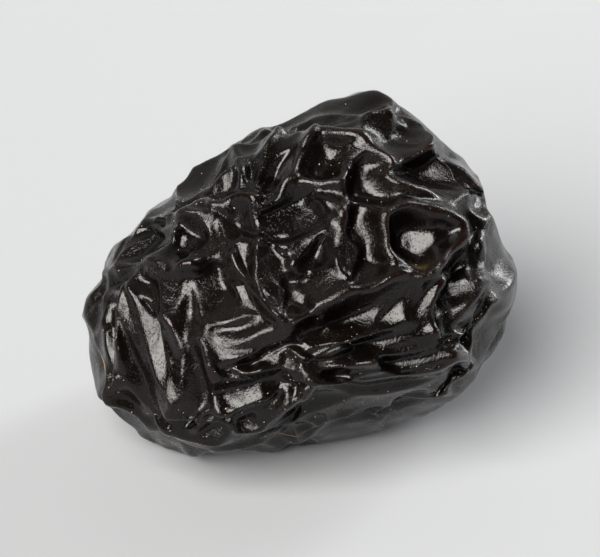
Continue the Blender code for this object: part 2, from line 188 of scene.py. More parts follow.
def outline_radius(angle):
    """The fruit's half width at an angle round the described side."""
    radii = np.array(OUTLINE)
    place = np.mod(angle, 2 * math.pi) / (2 * math.pi) * len(radii)
    first = np.floor(place).astype(int)
    t = place - first
    before, here, after, beyond = (radii[(first + k) % len(radii)] for k in (-1, 0, 1, 2))
    slope = (after - before) / 2
    next_slope = (beyond - here) / 2
    return (here * (1 + 2 * t) * (1 - t) ** 2 + slope * t * (1 - t) ** 2
            + after * t * t * (3 - 2 * t) - next_slope * t * t * (1 - t))


def underside(points):
    """1 at the middle of the swollen underside, falling to 0 away from it."""
    return np.exp(-((unit(points) - unit(np.array(BELLY_PLACE))) ** 2).sum(-1) / BELLY_WIDTH ** 2)


def plump(across, up, near):
    """The smooth fruit: directions to points and the way out of its skin there."""
    radius = outline_radius(np.arctan2(up, across))
    outward = unit(np.stack([across / radius, up / radius, near / HALF_THICKNESS], -1))
    axes = np.stack([RIGHT, UP, NEAR])
    full = np.maximum(near, 0)
    points = np.stack([across * radius, up * radius - SAG * full ** 2, near * HALF_THICKNESS], -1) @ axes
    outward = outward @ axes
    outward = unit(outward + (outward @ UP * 2 * SAG * full / HALF_THICKNESS)[..., None] * NEAR)
    return points + outward * (BELLY * underside(points))[..., None], outward


def on_side(across, up):
    """The smooth skin under a spot of the described side, and the way out of it."""
    near = 0.0
    for _ in range(SAG_ROUNDS):
        unsagged = up + SAG * near ** 2
        angle = math.atan2(unsagged, across)
        reach = min(math.hypot(across, unsagged) / float(outline_radius(angle)), FURTHEST)
        near = math.sqrt(1 - reach * reach)
    return plump(np.array(reach * math.cos(angle)), np.array(reach * math.sin(angle)), np.array(near))


def on_route(route):
    return [on_side(across, up)[0] for across, up in zip(route[::2], route[1::2])]


def nearest_squared(points, places):
    """Each point's squared distance to the route that runs straight from place to place."""
    nearest = np.full(len(points), np.inf)
    for start, end in zip(places, places[1:]):
        run = end - start
        share = np.clip((points - start) @ run / (run @ run), 0, 1)
        nearest = np.minimum(nearest, ((points - start - share[:, None] * run) ** 2).sum(1))
    return nearest


def described_hollows():
    """Each hollow's place, way along, way out, half length, half width, depth and lean."""
    facing = unit(np.array(FACING)) @ np.stack([RIGHT, UP, NEAR])
    hollows = []
    for across, up, half_length, half_width, turn, depth, share in HOLLOWS:
        place, outward = on_side(across, up)
        along = math.cos(math.radians(turn)) * RIGHT + math.sin(math.radians(turn)) * UP
        lean = share / HOLLOW_SHARE * (facing / (facing @ outward) - outward)
        hollows.append((place, along, outward, half_length, half_width, depth, lean))
    return hollows


def stem_scar():
    place, outward = plump(*unit(np.array(SCAR_SIDE)))
    return place, RIGHT, outward, SCAR_RADIUS, SCAR_RADIUS, SCAR_DEPTH, np.zeros(3)


def scattered_hollows(taken):
    rng = np.random.default_rng(SCATTER_SEED)
    scar = stem_scar()
    places = [hollow[0] for hollow in taken] + [scar[0]]
    hollows = [scar]
    while len(hollows) <= SCATTER_COUNT:
        direction = unit(rng.normal(size=3))
        place, outward = plump(*direction)
        crowded = min(np.linalg.norm(place - other) for other in places) < SCATTER_SPACING
        if crowded or direction[2] > SCATTER_EDGE:
            continue
        along = unit(scar[0] - place) + STRAYING * rng.normal(size=3)
        half_length = rng.uniform(*SCATTER_LENGTH)
        half_width = half_length * rng.uniform(*SCATTER_SLIMNESS)
        depth = rng.uniform(*SCATTER_DEPTH)
        hollows.append((place, along, outward, half_length, half_width, depth, np.zeros(3)))
        places.append(place)
    return hollows


def wander(points, share=1.0):
    """The points after a smooth drift, so that no ridge runs straight."""
    rng = np.random.default_rng(WANDER_SEED)
    drift = np.zeros_like(points)
    for size, length in WANDER:
        for _ in range(WANDER_WAVES):
            heading = unit(rng.normal(size=3)) * 2 * math.pi / (length * rng.uniform(*WANDER_LENGTHS))
            wave = np.sin(points @ heading + rng.uniform(0, 2 * math.pi))
            drift += wave[:, None] * rng.normal(size=3) * size / math.sqrt(WANDER_WAVES)
    return points + drift * share


def sink(points, hollows, share=1.0):
    """How deep the skin has sunk at each point: the deepest hollow there, its rim rounded."""
    moved = wander(points, share)
    total = np.ones(len(points))
    for place, along, outward, half_length, half_width, depth, lean in hollows:
        along = unit(along - (along @ outward) * outward)
        aside = np.cross(outward, along)
        offset = moved - place
        reach = ((offset @ along) / half_length) ** 2 + ((offset @ aside) / half_width) ** 2
        reach += ((offset @ outward) / half_length) ** 2
        inside = 1 - reach / SPREAD ** 2
        turned = MOST_TURNED * np.tanh((offset @ lean) / MOST_TURNED)
        sunk = DEEPER * depth * inside + turned * np.maximum(inside, 0)
        total += np.exp(np.maximum(sunk, SHALLOWEST) / ROUNDING) - math.exp(SHALLOWEST / ROUNDING)
    return ROUNDING * np.log(total)


def rise(points):
    """How far the ridges that can be followed stand out: a thin crest on a wide foot."""
    moved = wander(points, DESCRIBED_SHARE)
    out = np.zeros(len(points))
    for height, width, route in RIDGES:
        away = np.sqrt(nearest_squared(moved, on_route(route)) + CREST ** 2) - CREST
        out = np.maximum(out, height * np.exp(-away / width))
    return out


def wrinkled(directions):
    """Points of the wrinkled skin in millimetres, round the fruit's own middle."""
    across, up, near = directions @ RIGHT, directions @ UP, directions @ NEAR
    points, outward = plump(across, up, near)
    named = described_hollows()
    side = np.clip(SIDE_START + SIDE_GROWTH * near, 0, 1)
    deep = sink(points, named, DESCRIBED_SHARE) * HOLLOW_SHARE + sink(points, scattered_hollows(named))
    deep += (BETWEEN - rise(points)) * side
    deep *= 1 - CALM_EDGE * np.exp(-(near / EDGE_WIDTH) ** 2)
    return points - outward * (deep * (1 - (1 - CALM) * underside(points)))[:, None]


def standing(points):
    """The scale and the shift that give the fruit its length and put its flat spot at z = 0."""
    low, high = points.min(0), points.max(0)
    scale = LENGTH / (high[0] - low[0])
    middle = (low + high) / 2
    return scale, -scale * np.array([middle[0], middle[1], low[2]]) - [0, 0, FLAT_SPOT]


# The fine skin: a sphere of small triangles, drawn out by the rules above and then buckled
FIRST_LEVEL = 4          # an icosphere that is cut in three along each edge, then halved twice
FIRST_CUTS = 2
HALVINGS = 2
PROUD = 0.008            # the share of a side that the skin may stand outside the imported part

# Bands where the skin is crumpled small: reach, and their spots
CRUMPLED = (
    (0.9, (-4.7, -7.0, -2.3, -7.0, 0.2, -5.9, 3.0, -5.2, 5.3, -5.0)),
    (0.9, (-6.5, -10.6, -3.5, -10.2, -1.0, -9.4, 1.5, -8.3)),
    (1.0, (12.8, -4.4, 14.8, -3.0)),
    (1.2, (-9.0, 5.0, -6.0, 5.4)),
    (0.8, (3.6, 8.2, 5.2, 8.4)),
    (1.8, (3.0, -10.8, 7.0, -10.2, 10.5, -8.8, 13.0, -6.8)),
    (1.0, (-13.0, -7.0, -12.0, -9.3, -9.6, -11.0)),
)
# The film that buckles, on the coarse mesh and on the fine one
CRUMPLE_GROWTH = (0.12, 0.06)    # how much too large the skin is in those bands
PLAIN_GROWTH = (0.016, 0.006)    # and everywhere
BUCKLE_STEPS = (120, 90)
BUCKLE_SEEDS = (3, 4)
STIFFNESS = (0.35, 0.15)         # how hard it is to bend
GRIP = (0.05, 0.02)              # how firmly the flesh holds it down
DRAG = 0.02              # and holds it from sliding
MEMORY = 0.85            # how much the skin keeps to the bends that it grew with
UNEVENNESS = 0.05        # the small bumps that it starts from, as a share of an edge
TIME_STEP = 0.45
DAMPING = 0.95
RAMP = 0.6               # the share of the steps over which it grows
TINY = np.float32(1e-9)  # keeps a length from being zero
SCAR_FINISH = 0.6        # the share of the stem scar's radius that is dry and brown
RELIEF_ROUNDS = 30       # over how wide a patch a ridge is told from a hollow
CREST_ROUNDS = 8         # and over how narrow a one its crest is
RELIEF_SHARE = 0.9       # how far each round moves a point
SHARPENED = 0.5          # how much further out the crests are drawn
SOFT_ROUNDS = 3          # how far sharp edges are rounded at the end
SOFT_SHARE = 0.5

# Smooth facets drawn tight between the folds, turned so that they mirror the light in front: how
# flat, how far they lean off that to the right and up, and their corners. A wide lean is dark.
FACETS = (
    (0.85, 0, 0, (-11.4, -0.8, -10.2, -1.9, -8.2, -4.2, -7.5, -6.0, -7.5, -9.5, -8.3, -9.1, -9.3, -7.9,
      -10.8, -2.9)),
    (0.6, 0.05, 0.4, (-12.9, 0.9, -11.9, 2.7, -9.7, 3.7, -8.7, 2.7, -10.4, 1.0)),
    (0.8, 0.35, 0.3, (-6.6, -0.6, -5.0, 0.9, -4.3, 0.6, -4.4, -2.5, -6.1, -3.3)),
    (0.8, 0.1, 0.45, (-1.6, 4.4, 0.8, 5.4, 2.4, 5.0, 3.2, 3.6, 1.2, 2.7, -1.2, 2.6)),
    (0.8, 0, 0, (-13.2, -3.9, -12.6, -3.7, -12.3, -5.5, -12.1, -7.4, -12.7, -6.9, -13.2, -5.3)),
    (0.8, 0, 0, (-6.3, -4.4, -4.9, -4.2, -2.9, -4.4, -3.6, -5.0, -5.0, -5.3, -5.9, -5.0)),
    (0.85, 0.1, 0.55, (-5.9, -5.4, -4.9, -5.7, -3.3, -5.3, -1.0, -4.9, -2.0, -5.9, -4.6, -6.6)),
    (0.8, 0.45, 0.3, (-1.9, 2.4, -0.6, 2.2, 0.2, 0.4, -0.3, -2.2, -1.1, -1.1, -2.0, 0.4)),
    (0.7, 0, 0, (-3.4, -10.6, -2.2, -10.1, -1.6, -10.8, -2.0, -11.6, -3.2, -11.4)),
    (0.7, 0, 0, (-1.6, -11.9, 1.3, -9.3, 1.0, -10.6, -0.4, -11.7)),
    (0.7, 0, 0, (-6.8, -11.3, -5.9, -10.3, -4.8, -9.8, -5.3, -10.7, -6.3, -11.5)),
    (0.9, 0, 0, (-4.8, -6.8, -3.9, -6.5, -3.2, -7.0, -2.4, -7.7, -3.6, -7.8, -4.6, -7.5)),
    (0.9, 0, 0, (-1.9, -6.3, -1.0, -5.7, 0, -5.9, -0.1, -6.5, -1.0, -6.6)),
    (0.7, 0, -0.2, (-4.9, -8.1, -3.6, -8.0, -1.4, -7.5, -1.2, -9.1, -3.3, -9.8, -4.7, -8.9)),
    (0.7, 0.55, -0.1, (-12.1, -1.7, -11.2, -2.6, -9.7, -7.8, -8.9, -9.6, -9.9, -10.2, -11.5, -8.0,
      -11.9, -5.5)),
    (0.7, 0.1, 0.14, (11.0, 0.3, 12.4, 1.4, 13.3, 3.1, 14.4, 3.6, 14.8, 2.0, 14.2, 0.6, 12.4, -0.2)),
    (0.9, 0, 0, (-3.9, -0.5, -2.7, -0.6, -1.9, -1.8, -1.2, -3.0, -2.6, -2.7, -3.3, -1.9)),
    (0.9, 0, 0, (-3.8, 2.4, -3.0, 3.0, -1.9, 2.7, -2.1, 1.2, -2.4, -0.3, -3.0, 0.9)),
    (0.9, 0, 0, (8.3, 3.1, 11.5, 3.0, 10.7, 1.6, 9.9, 0.5, 9.1, 1.7)),
    (0.85, 0, 0, (14.3, 0.1, 14.7, -0.4, 13.5, -1.6, 11.9, -2.3, 11.4, -1.5, 12.5, -0.5)),
    (0.85, 0, 0, (8.4, -1.3, 8.9, -2.2, 9.5, -3.6, 6.2, -3.7, 7.3, -2.7)),
    (0.9, 0, 0, (1.7, -5.7, 2.6, -5.2, 4.0, -4.9, 5.0, -5.3, 3.6, -6.0, 2.0, -6.1)),
    (0.8, 0, 0, (7.0, -6.1, 12.6, -5.3, 13.0, -6.3, 11.5, -7.2, 9.4, -7.5, 7.3, -7.0)),
    (0.7, 0, -0.14, (2.6, -7.2, 5.0, -6.8, 7.0, -6.6, 9.0, -7.4, 6.0, -7.9, 3.2, -7.6)),
    (0.7, 0, 0.12, (7.1, -5.6, 9.0, -5.0, 11.5, -4.8, 11.3, -5.3, 9.0, -5.7)),
    (0.7, 0, 0, (12.4, -3.9, 13.6, -3.0, 15.0, -2.4, 14.6, -3.4, 13.2, -4.4)),
    (0.9, 0, 0, (0.5, -0.7, 1.5, -0.9, 2.1, -2.4, 1.2, -2.7, 0.6, -1.7)),
    (0.85, 0.05, 0, (3.8, 3.3, 4.5, 2.9, 5.3, 0.9, 5.0, -0.1, 4.3, 0.6)),
    (0.75, 0, 0.12, (8.0, 7.6, 11.0, 9.0, 13.4, 8.0, 15.0, 6.2, 12.6, 6.2, 9.6, 6.8)),
    (0.7, 0, 0.12, (-1.9, 6.3, -0.8, 8.2, 0.2, 9.3, 0.9, 9.2, -0.3, 7.5)),
    (0.8, 0, 0, (4.1, 8.6, 6.2, 9.2, 5.6, 8.4, 5.0, 7.5, 4.4, 8.0)),
    (0.85, 0, 0.05, (2.3, 5.8, 3.7, 5.6, 4.2, 4.6, 4.9, 2.6, 4.3, 3.0, 3.3, 4.8)),
    (0.8, 0, 0.1, (-8.0, 3.1, -7.1, 3.0, -6.8, 1.8, -7.9, 1.5)),
    (0.6, 0, 0.15, (-6.2, 5.6, -5.2, 6.4, -3.8, 6.3, -4.4, 5.5)),
)
FACET_EDGE = 0.3         # the width over which a facet's border falls off, in millimetres

# Thin round rims along folds: their spots, height and half width
RIMS = (
    (7.1, 3.6, 7.3, 4.3, 8.4, 4.9, 9.6, 4.4, 10.6, 4.2, 11.8, 4.4, 13.0, 3.6, 12.9, 2.6, 12.2, 1.4,
      11.0, 0.4, 10.0, 0, 9.0, 0.8, 8.0, 1.7, 7.9, 2.6, 7.1, 3.6),
    (-8.0, 3.1, -8.1, 1.7, -7.4, 1.2, -6.7, 1.5, -6.6, 0.6, -7.6, 0.5),
    (10.8, 9.2, 10.0, 8.4, 8.4, 7.9, 7.7, 7.3, 8.4, 6.7, 10.0, 6.4),
    (-1.9, 6.2, -0.9, 8.3, 0.4, 9.6, 2.5, 10.5, 5.5, 10.2, 7.9, 8.6),
    (14.5, 0.2, 15.0, 1.4, 14.9, 2.6, 14.3, 3.9),
    (11.0, 0.3, 11.2, -1.0, 11.6, -2.1, 11.1, -4.0),
    (-6.3, -4.6, -5.6, -5.8, -4.9, -6.8),
    (-6.6, -11.2, -5.8, -10.5, -4.9, -10.0),
    (0, -9.6, 1.2, -9.0, 2.0, -7.8),
    (-1.8, 2.8, -2.0, 1.0, -1.9, -0.2, -1.1, -1.7, -0.1, -3.4),
    (3.5, 3.8, 4.2, 1.8, 4.8, -0.2, 5.3, 1.0, 5.3, 2.5),
    (-8.9, 4.3, -7.0, 4.6, -5.6, 5.2, -4.6, 5.0, -3.9, 4.3),
)
RIM_HEIGHT = 0.35
RIM_WIDTH = 0.45

# Where a golden glow of light shining through thin skin is painted on: reach, and spots
GOLD_GLOW_SPOTS = (
    (0.4, (9.85, 1.0, 10.0, 1.5)),
    (0.14, (-7.6, 0.5, -6.6, 0.6, -6.7, 1.4)),
    (0.25, (1.0, -5.0, 2.0, -4.8)),
)

# Colours
BLACK_SKIN = (0.0012, 0.0008, 0.0006, 1.0)
BROWN_SKIN = (0.0026, 0.0015, 0.0010, 1.0)
# painted glow: the reddish light that shines through thin skin over the ridges
MAROON_GLOW = (0.013, 0.0048, 0.0036, 1.0)
GREY_FILM = (0.0034, 0.0027, 0.0020, 1.0)
DUST = (0.14, 0.11, 0.09, 1.0)
SCAR_BROWN = (0.055, 0.026, 0.012, 1.0)
SCAR_TAN = (0.16, 0.095, 0.045, 1.0)
# painted glow: golden light shining through thin skin at a few spots
GOLD_GLOW = (0.46, 0.31, 0.14, 1.0)
SPECK_LIGHT = (0.40, 0.33, 0.26, 1.0)
SPECK_DARK = (0.30, 0.20, 0.12, 1.0)
CRACK_LIGHT = (0.24, 0.14, 0.06, 1.0)
CRACK_DARK = (0.14, 0.06, 0.02, 1.0)
FLOOR_COLOR = (0.326, 0.334, 0.352, 1.0)
ROOM_BEHIND = (0.50, 0.50, 0.48, 1.0)
ROOM_FRONT = (0.035, 0.035, 0.035, 1.0)

# The skin's patterns: scales are waves to the metre. A band is where a pattern starts and is full,
# then its share at each
PATCH_SCALE = 110.0
PATCHES_FINER = 4.0      # how much finer the patches are than the slow drift
PATCH_CONTRAST = 0.14
PORE_SCALE = 5200.0
PORE_BAND = (0.05, 0.5)
PORE_DEPTH = 0.6
PEBBLE_SCALE = 1700.0
BROWN_BAND = (0.35, 0.7)
# the maroon band paints the glow of light through thin skin onto the ridges
RIDGE_GLOW_BAND = (0.2, 0.8, 0.0, 0.5)        # from millimetres of relief, as the next one
FILM_BAND = (-0.5, 0.25, 0.15, 0.6)
DUST_SCALE = 9000.0
DUST_BAND = (0.66, 0.74, 0.0, 0.5)
# the gold band paints the glow of light through thin skin at the gold spots
GOLD_GLOW_BAND = (0.3, 0.9, 0.3, 1.0)
FIBRE_SCALE = 2600.0     # the fibres of the stem scar
SCAR_BAND = (0.25, 0.5, 0.55, 1.0)
TAN_BAND = (0.4, 0.65)
CREASE_SCALE = 620.0
CREASE_WIDTH = 0.09
CREASE_SHARE = (0.2, 1.0)        # without the dry film and in it
CREASE_DEPTH = 0.00002   # this and the next in metres
GRAIN_DEPTH = 0.000022

# How rough the skin is without the dry film and in it, and how much more elsewhere
FILM_ROUGHNESS = (0.17, 0.27)
PORE_ROUGHNESS = (0.06, -0.02)   # in a pore and between pores
GOLD_ROUGHNESS = 0.2
SCAR_ROUGHNESS = 0.45
COAT_WEIGHT = (0.15, 0.05)
COAT_ROUGHNESS = 0.16
SKIN_IOR = 1.45
SKIN_GLOSS = 0.28

# What crumbs and cracked edges are made of
CRUST_PEBBLES = 0.4      # how coarse its pebble is to its pores
CRUST_PORES = 0.5
CRUST_BAND = (0.35, 1.0)
CRUST_ROUGHER = 0.25
CRUMB_FINISH = (9000.0, 0.5)     # pore scale and roughness
EDGE_FINISH = (7000.0, 0.4)

# Crumbs: how many to the square metre, and their size in millimetres
SPECK_DENSITY = 4.0e5
SPECK_SIZE = 0.05
SPECK_SEED = 2
PLAIN_CRUMBS = 0.08      # their share where the skin isn't crumpled
CRUMB_REACH = 2.5        # how much wider than a crumpled band their own is
CRUMBS_FROM = 1.5        # the height below which the fruit is wiped clean
CRUMB_TURN = (0.3, 0.3, 6.28)
CRUMB_LEAST = (0.4, 0.4, 0.3)    # its three sizes, as shares of the speck size
CRUMB_MOST = (1.6, 1.1, 0.7)

# Cracks that show gold
CRACKS = (
    (-8.8, -12.2, -7.4, -12.4, -5.9, -12.4, -4.7, -12.6),
    (-0.8, -12.4, 0.6, -12.3, 1.9, -12.4),
    (-14.0, -6.0, -13.1, -7.4),
    (-13.6, -7.9, -12.7, -9.2),
)
CRACK_SEED = 8
CRACK_STEP = 0.25        # between its spots, and the fewest spots
CRACK_FEWEST = 3
CRACK_WANDER = 0.025
CRACK_THICKNESS = 0.05
CRACK_UNEVENNESS = 0.5
CRACK_SUNK = 0.01        # how far under the skin its middle runs
CRACK_THINNEST = 0.000004        # in metres
CRACK_SIDES = 5

# Floor, light and camera, in metres and degrees
FLOOR_HALF = 3.0
FLOOR_ROUGHNESS = 0.9
FLOOR_GLOSS = 0.2
SUN_STRENGTH = 8.6
SUN_ANGLE = 46.0
SUN_COLOR = (1.0, 0.972, 0.92)
SUN_TOWARDS = (0.39, 0.64, -0.66)
STRIP_PLACE = (0.45, 0.35, 0.28)
STRIP_AIM = (0.0, 0.0, 0.014)
STRIP_SIZE = (0.12, 0.5)
STRIP_ENERGY = 3.0
ROOM_BAND = (-0.3, 0.7)  # how far behind the fruit the room turns pale
CAMERA_LENS = 360.0
CAMERA_AIM = (0.0, 0.0, 0.0135)
CAMERA_DISTANCE = 0.47
CAMERA_CLIP = 0.01



def geodesic_sphere():
    """Directions and triangles of an even sphere."""
    shape = bmesh.new()
    bmesh.ops.create_icosphere(shape, subdivisions=FIRST_LEVEL, radius=1.0)
    bmesh.ops.subdivide_edges(shape, edges=shape.edges[:], cuts=FIRST_CUTS, use_grid_fill=True)
    bmesh.ops.triangulate(shape, faces=shape.faces[:])
    directions = unit(np.array([vert.co[:] for vert in shape.verts]))
    triangles = np.array([[vert.index for vert in face.verts] for face in shape.faces])
    shape.free()
    return directions, triangles


def sides(triangles):
    """The two ends of every side of the triangles."""
    return np.concatenate([triangles[:, [0, 1]], triangles[:, [1, 2]], triangles[:, [2, 0]]])


def halve(directions, triangles, values):
    """Each triangle cut in four, and the values carried over to the new points."""
    edges, which = np.unique(np.sort(sides(triangles), 1), axis=0, return_inverse=True)
    ab, bc, ca = which.reshape(3, -1) + len(directions)
    a, b, c = triangles.T
    corners = ((a, ab, ca), (ab, b, bc), (ca, bc, c), (ab, bc, ca))
    triangles = np.concatenate([np.stack(three, 1) for three in corners])
    directions = unit(np.concatenate([directions, directions[edges].mean(1)]))
    return directions, triangles, np.concatenate([values, values[edges].mean(1)])


def outward_normals(points, triangles):
    a, b, c = (points[triangles[:, corner]] for corner in range(3))
    faces = np.cross(b - a, c - a)
    normals = np.zeros_like(points)
    for corner in range(3):
        for axis in range(3):
            normals[:, axis] += np.bincount(triangles[:, corner], faces[:, axis], len(points))
    return unit(normals)


def neighbours(count, triangles):
    """For each point its neighbours, filled up with itself, and which of them are real."""
    pairs = sides(triangles)
    pairs = np.unique(np.concatenate([pairs, pairs[:, ::-1]]), axis=0)
    number = np.bincount(pairs[:, 0], minlength=count)
    start = np.searchsorted(pairs[:, 0], np.arange(count))
    table = np.tile(np.arange(count)[:, None], (1, number.max()))
    for k in range(number.max()):
        has = number > k
        table[has, k] = pairs[start[has] + k, 1]
    return table, np.arange(number.max())[None, :] < number[:, None]


def buckle(points, triangles, growth, level):
    """The skin when it is too large for its flesh by growth: thin film springs, held by the flesh."""
    table, real = neighbours(len(points), triangles)
    number = real.sum(1)[:, None].astype(np.float32)
    flesh = points.astype(np.float32)
    span = flesh[table] - flesh[:, None]
    length = np.sqrt(np.einsum("ijk,ijk->ij", span, span)) + TINY
    edge = length[real].mean()
    length /= edge
    flesh /= edge
    out = outward_normals(points, triangles).astype(np.float32)
    rng = np.random.default_rng(BUCKLE_SEEDS[level])
    here = flesh + out * rng.normal(0, UNEVENNESS, (len(points), 1)).astype(np.float32)
    speed = np.zeros_like(here)
    growth = growth.astype(np.float32)[:, None]
    grown = np.float32(MEMORY) * (flesh[table] - flesh[:, None]).sum(1) / number
    steps = BUCKLE_STEPS[level]
    for step in range(steps):
        share = np.float32(min(1.0, (step + 1) / (RAMP * steps)))
        span = here[table] - here[:, None]
        now = np.sqrt(np.einsum("ijk,ijk->ij", span, span)) + TINY
        pull = np.where(real, 1 - length * (1 + share * growth) / now, 0).astype(np.float32)
        force = np.einsum("ij,ijk->ik", pull, span)
        bend = span.sum(1) / number - grown
        force -= np.float32(STIFFNESS[level]) * ((bend[table] - bend[:, None]).sum(1) / number)
        away = here - flesh
        lift = (away * out).sum(1, keepdims=True) * out
        force -= np.float32(GRIP[level]) * lift + np.float32(DRAG) * (away - lift)
        speed = (speed + np.float32(TIME_STEP) * force) * np.float32(DAMPING)
        here = here + np.float32(TIME_STEP) * speed
    return here.astype(float) * edge


def near_route(points, reach, route):
    """1 on a route of the described side, falling to 0 beyond its reach."""
    return np.exp(-nearest_squared(points, on_route(route)) / reach ** 2)


def within(across, up, corners):
    """1 inside a convex patch of the described side, falling to 0 round its border."""
    corners = np.reshape(corners, (-1, 2))
    centre = corners.mean(0)
    depth = np.full(len(across), np.inf)
    for start, end in zip(corners, np.roll(corners, -1, 0)):
        run = unit(end - start)
        inward = np.sign(run[0] * (centre - start)[1] - run[1] * (centre - start)[0])
        depth = np.minimum(depth, inward * (run[0] * (up - start[1]) - run[1] * (across - start[0])))
    share = np.clip(0.5 + depth / FACET_EDGE, 0, 1)
    return share * share * (3 - 2 * share)


def tighten_facets(points):
    """The skin with its facets drawn flat and turned towards or off the light, and its rims raised."""
    across, up, near = points @ RIGHT, points @ UP, points @ NEAR
    mirror = unit(NEAR - unit(np.array(SUN_TOWARDS)))
    slope = -np.array([mirror @ RIGHT, mirror @ UP]) / (mirror @ NEAR)
    for flat, *lean, corners in FACETS:
        share = within(across, up, corners) * (near > 0)
        middle = [(share * value).sum() / share.sum() for value in (across, up, near)]
        turned = slope - np.array(lean)
        plane = middle[2] + turned[0] * (across - middle[0]) + turned[1] * (up - middle[1])
        near = near + flat * share * (plane - near)
    spots = np.stack([across, up], 1)
    for route in RIMS:
        away = nearest_squared(spots, np.reshape(route, (-1, 2)))
        near = near + (near > 0) * RIM_HEIGHT * np.exp(-away / RIM_WIDTH ** 2)
    return points + (near - points @ NEAR)[:, None] * NEAR


def smoothed(points, triangles, rounds, share):
    """The points after rounds in which each goes a share of the way to its neighbours' middle."""
    table, real = neighbours(len(points), triangles)
    number = real.sum(1)[:, None]
    for _ in range(rounds):
        points = points + share * (points[table] - points[:, None]).sum(1) / number
    return points


def skin_relief(points, triangles, rounds):
    """How far each point stands out of the skin round it, in millimetres, and the way out there."""
    normals = outward_normals(points, triangles)
    around = smoothed(points, triangles, rounds, RELIEF_SHARE)
    return ((points - around) * normals).sum(1), normals


def fine_skin():
    """The finished skin in millimetres, its triangles and its form before it buckled."""
    directions, triangles = geodesic_sphere()
    points = form = wrinkled(directions)
    for level in range(HALVINGS):
        directions, triangles, both = halve(directions, triangles, np.concatenate([points, form], 1))
        form = wrinkled(directions)
        points = both[:, :3] + form - both[:, 3:]
        growth = np.full(len(points), PLAIN_GROWTH[level])
        for reach, route in CRUMPLED:
            growth += CRUMPLE_GROWTH[level] * near_route(form, reach, route)
        points = buckle(points, triangles, growth, level)
    relief, normals = skin_relief(points, triangles, CREST_ROUNDS)
    points = tighten_facets(points + SHARPENED * relief[:, None] * normals)
    return smoothed(points, triangles, SOFT_ROUNDS, SOFT_SHARE), triangles, form


def as_mesh(points, triangles):
    mesh = bpy.data.meshes.new("prune_skin")
    mesh.vertices.add(len(points))
    mesh.vertices.foreach_set("co", (points * MM).astype(np.float32).ravel())
    mesh.loops.add(3 * len(triangles))
    mesh.loops.foreach_set("vertex_index", triangles.astype(np.int32).ravel())
    mesh.polygons.add(len(triangles))
    mesh.polygons.foreach_set("loop_start", np.arange(0, 3 * len(triangles), 3, dtype=np.int32))
    mesh.update()
    mesh.validate()
    mesh.shade_smooth()
    return mesh


def in_scene(name, data):
    """A new object of the scene."""
    piece = bpy.data.objects.new(name, data)
    bpy.context.scene.collection.objects.link(piece)
    return piece


def crumb_chance(points):
    """How likely a crumb is at each point: most where the skin is crumpled small."""
    chance = np.full(len(points), PLAIN_CRUMBS)
    for reach, route in CRUMPLED:
        chance += near_route(points, CRUMB_REACH * reach, route)
    return chance


def gold_glow_share(points):
    """How much of the painted golden glow, for light shining through thin skin, each point has."""
    gold_glow = np.zeros(len(points))
    for reach, route in GOLD_GLOW_SPOTS:
        gold_glow = np.maximum(gold_glow, near_route(points, reach, route) * (points @ NEAR > 0))
    return gold_glow


def scar_share(points):
    """How far the skin is the stem scar's, dry and brown, at each point."""
    pit, _, outward = stem_scar()[:3]
    aside = points - pit
    aside -= (aside @ outward)[:, None] * outward
    return np.exp(-((aside ** 2).sum(1) / (SCAR_FINISH * SCAR_RADIUS) ** 2) ** 2) * (points @ outward > 0)


def skin_piece():
    """The whole fruit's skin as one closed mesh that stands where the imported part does."""
    middle, triangles, form = fine_skin()
    scale, shift = standing(form)
    low, high = (np.array(corner[:]) / MM for corner in cad_box)
    slack = PROUD * (high - low)
    points = np.clip(scale * middle + shift, low - slack, high + slack)
    points[:, 2] = np.maximum(points[:, 2], 0.0)
    mesh = as_mesh(points, triangles)
    # the second attribute holds the painted golden glow of light through thin skin
    for name, values in (("relief", skin_relief(points, triangles, RELIEF_ROUNDS)[0]),
                         ("gold_glow_mask", gold_glow_share(middle)),
                         ("stem_scar", scar_share(middle)),
                         ("crumbs", crumb_chance(middle) * (points[:, 2] > CRUMBS_FROM))):
        attribute = mesh.attributes.new(name, "FLOAT", "POINT")
        attribute.data.foreach_set("value", values.astype(np.float32))
    return in_scene("prune_skin", mesh), scale, shift


# Materials


class Tree:
    """A node tree being put together."""

    def __init__(self, tree):
        self.tree = tree

    def add(self, kind, inputs=None, **settings):
        """A new node: its settings, then what goes into its inputs, by their names or numbers."""
        node = self.tree.nodes.new(kind)
        for name, value in settings.items():
            setattr(node, name, value)
        for name, source in (inputs or {}).items():
            self.put(node.inputs[name], source)
        return node

    def put(self, target, source):
        """A link from a socket, or a plain value."""
        if isinstance(source, bpy.types.NodeSocket):
            self.tree.links.new(source, target)
        else:
            target.default_value = source

    def math(self, operation, first, second=0.0):
        return self.add("ShaderNodeMath", {0: first, 1: second}, operation=operation).outputs[0]

    def noise(self, place, scale, detail=3.0, roughness=0.55, distortion=0.0):
        return self.add("ShaderNodeTexNoise", {
            "Vector": place, "Scale": scale, "Detail": detail, "Roughness": roughness,
            "Distortion": distortion}).outputs["Fac"]

    def band(self, value, low, high, to_low=0.0, to_high=1.0):
        """value brought from low..high to to_low..to_high, smoothly and no further."""
        return self.add("ShaderNodeMapRange", {
            "Value": value, "From Min": low, "From Max": high, "To Min": to_low, "To Max": to_high},
            interpolation_type="SMOOTHSTEP").outputs["Result"]

    def mix(self, share, first, second):
        return self.add("ShaderNodeMix", {"Factor": share, "A": first, "B": second},
                        data_type="RGBA").outputs["Result"]


def new_tree(name, kind, inputs, outputs):
    """A new node group: the tree, its inputs by name and its output node's sockets."""
    group = bpy.data.node_groups.new(name, kind)
    for label, socket_kind, value in inputs:
        socket = group.interface.new_socket(label, in_out="INPUT", socket_type="NodeSocket" + socket_kind)
        if value is not None:
            socket.default_value = value
    for label, socket_kind in outputs:
        group.interface.new_socket(label, in_out="OUTPUT", socket_type="NodeSocket" + socket_kind)
    tree = Tree(group)
    return tree, tree.add("NodeGroupInput").outputs, tree.add("NodeGroupOutput").inputs


